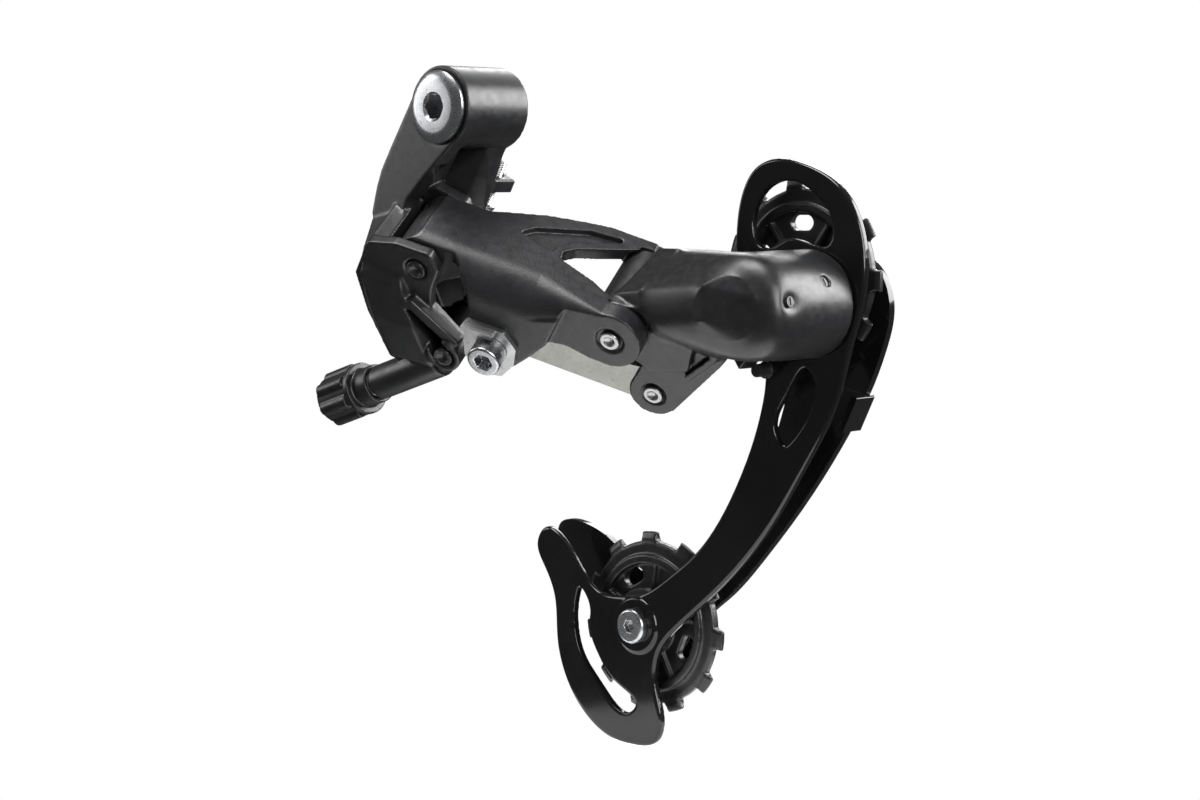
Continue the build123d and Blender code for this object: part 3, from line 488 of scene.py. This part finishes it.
hanger_bolt()
cross_screw("b_tension_screw", "b_tension_turn", -1.0, head_at=6.4, tip_at=-6.0, head_r=2.7, head_t=1.9)
cross_screw("limit_screw_low", "limit_low_turn", 1.0, head_at=9.5, tip_at=0.0, head_r=2.3, head_t=1.6)
cross_screw("limit_screw_high", "limit_high_turn", 1.0, head_at=9.5, tip_at=0.6, head_r=2.3, head_t=1.6)


# ---------------------------------------------------------------- moulded pieces
def shoulder(point):
    """Weight, 0 to 1, where the cage pivot's housing flows into the shell, and none at the ear's rib."""
    near, far = 7.5, 24.0           # distances from the cage's axle, across it
    middle_y, full, fade = 9.5, 4.5, 7.0
    rib_x, rib_z, rib_r, rib_fade = 48.0, -61.0, 6.0, 4.0
    axle_x, _, axle_z = (value / MM for value in JOINTS["cage_pivot"]["pos_m"])
    from_axle = sqrt((point.x - axle_x) ** 2 + (point.z - axle_z) ** 2)
    if not near <= from_axle <= far:
        return 0.0
    from_rib = sqrt((point.x - rib_x) ** 2 + (point.z - rib_z) ** 2)
    beside_rib = min(1.0, max(0.0, (from_rib - rib_r) / rib_fade))
    along_axle = 1.0 - max(0.0, abs(point.y - middle_y) - full) / fade
    return beside_rib * along_axle


def pulley(node, joint_name):
    """Moulded wheel: the CAD shape with rounded edges and a thicker band at the roots of its teeth."""
    inner, edge, outer = 16.6, 20.3, 20.8
    half, flat = 1.35, 0.8
    band = lathe(
        [(inner, -half), (edge, -half), (outer, -flat), (outer, flat), (edge, half), (inner, half)],
        frame_of(joint_name))
    cast(node, voxel=0.28, rounds=12, filling=band)


cast("b_knuckle", voxel=0.28, rounds=14)
cast("outer_link", voxel=0.26, rounds=10)
cast("p_knuckle", voxel=0.3, rounds=9, weight_at=shoulder)
cast("adjuster_knob", voxel=0.2, rounds=5)
pulley("guide_pulley", "guide_pulley_spin")
pulley("tension_pulley", "tension_pulley_spin")

# ---------------------------------------------------------------- sheet and turned pieces
cast("outer_cage_plate", voxel=0.25, rounds=7)
bevelled("inner_cage_plate", width=0.42, steps=3)
bevelled("inner_link", width=0.35, steps=3)
bevelled("cable_clamp_plate", width=0.28, steps=3)
bevelled("cable_anchor_bolt", width=0.3, steps=3)
for joint_pin in ("pin_upper_outer", "pin_upper_inner", "pin_lower_outer", "pin_lower_inner"):
    bevelled(joint_pin, width=0.2, steps=2)
for bolt in ("guide_pulley_bolt", "tension_pulley_bolt"):
    bevelled(bolt, width=0.2, steps=2)
for turned in (
    "guide_pulley_sleeve", "tension_pulley_sleeve", "guide_pulley_shields", "tension_pulley_shields",
    "cage_axle", "cage_stop_pin", "adjuster_core", "axle_bush", "hanger_bolt_bush", "knuckle_plugs",
):
    bevelled(turned, width=0.1, steps=1)


# ---------------------------------------------------------------- floor, light and camera
MIDDLE = (0.03, 0.0, -0.06)         # what the lights aim at, and the floor lies under
FLOOR_RADIUS = 0.10
FLOOR_GAP = 12 * MM                 # from the object down to the floor
ROOM_LIGHT = 0.11                   # what the black parts mirror
BACKDROP_LIGHT = 1.0                # what the camera sees behind the object
SKY_STRENGTH = 3.4
SKY_SPREAD = 35                     # degrees
SKY_DIRECTION = (0.12, 0.30, -1.0)
# Each softbox's name, place, width and height in metres, and watts.
SOFTBOXES = (
    ("left", (-0.66, -0.42, 0.22), 0.35, 0.5, 2.4),
    ("right", (0.56, 0.60, 0.28), 0.8, 0.5, 15.0),
    ("front", (0.78, -0.22, 0.16), 0.5, 0.5, 7.0),
    ("behind", (-0.30, 0.70, 0.40), 0.5, 0.3, 4.0),
)
CAMERA_AT = (0.4294, -0.4252, -0.0176)
CAMERA_DIRECTION = (-0.6794, 0.7286, -0.0872)
CAMERA_LENS = 74.7                  # mm, on a sensor CAMERA_SENSOR mm wide
CAMERA_SENSOR = 36.0


def floor():
    """Round sheet of pale paper just under the object."""
    work = bmesh.new()
    bmesh.ops.create_circle(work, cap_ends=True, radius=FLOOR_RADIUS, segments=96)
    work.transform(Matrix.Translation((MIDDLE[0], MIDDLE[1], CAD_BOX[0][2] - FLOOR_GAP)))
    mesh = bpy.data.meshes.new("paper")
    work.to_mesh(mesh)
    work.free()
    paper = shown("paper", mesh)
    g = Graph("white_paper")
    tone = g.mix(g.ramp(g.noise(0.05, 3.0), 0.3, 0.7), (0.93, 0.93, 0.93), (0.96, 0.96, 0.96))
    g.bump(g.noise(1.0, 3.0), 0.004)
    mesh.materials.append(g.paint(tone, g.ramp(g.noise(0.2), 0.3, 0.7, 0.8, 0.9)))


def aimed(thing, direction):
    """Turn a light or camera so that it looks along a direction."""
    thing.rotation_euler = Vector(direction).to_track_quat("-Z", "Y").to_euler()


def softbox(name, place, width, height, watts):
    """Rectangular area light aimed at the middle of the object."""
    light = bpy.data.lights.new(name, "AREA")
    light.shape = "RECTANGLE"
    light.size = width
    light.size_y = height
    light.energy = watts
    lamp = shown(name, light)
    lamp.location = place
    aimed(lamp, Vector(MIDDLE) - Vector(place))


def sky():
    """Broad soft light from above."""
    sun = bpy.data.lights.new("sky_panel", "SUN")
    sun.energy = SKY_STRENGTH
    sun.angle = radians(SKY_SPREAD)
    aimed(shown("sky_panel", sun), SKY_DIRECTION)


def room_and_backdrop():
    """White backdrop for the camera, with a dim room for the black parts to mirror."""
    world = bpy.data.worlds.new("studio")
    bpy.context.scene.world = world
    world.use_nodes = True
    tree = world.node_tree
    white = (1.0, 1.0, 1.0, 1.0)
    room = tree.nodes["Background"]
    room.inputs["Color"].default_value = white
    room.inputs["Strength"].default_value = ROOM_LIGHT
    backdrop = tree.nodes.new("ShaderNodeBackground")
    backdrop.inputs["Color"].default_value = white
    backdrop.inputs["Strength"].default_value = BACKDROP_LIGHT
    seen = tree.nodes.new("ShaderNodeLightPath")
    mixed = tree.nodes.new("ShaderNodeMixShader")
    tree.links.new(seen.outputs["Is Camera Ray"], mixed.inputs[0])
    tree.links.new(room.outputs[0], mixed.inputs[1])
    tree.links.new(backdrop.outputs[0], mixed.inputs[2])
    tree.links.new(mixed.outputs[0], tree.nodes["World Output"].inputs["Surface"])


def camera():
    """Camera at the photograph's angle."""
    lens = bpy.data.cameras.new("camera")
    lens.lens = CAMERA_LENS
    lens.sensor_width = CAMERA_SENSOR
    viewer = shown("camera", lens)
    viewer.location = CAMERA_AT
    aimed(viewer, CAMERA_DIRECTION)
    bpy.context.scene.camera = viewer
    bpy.context.scene.view_settings.view_transform = "Standard"


floor()
room_and_backdrop()
sky()
for box in SOFTBOXES:
    softbox(*box)
camera()
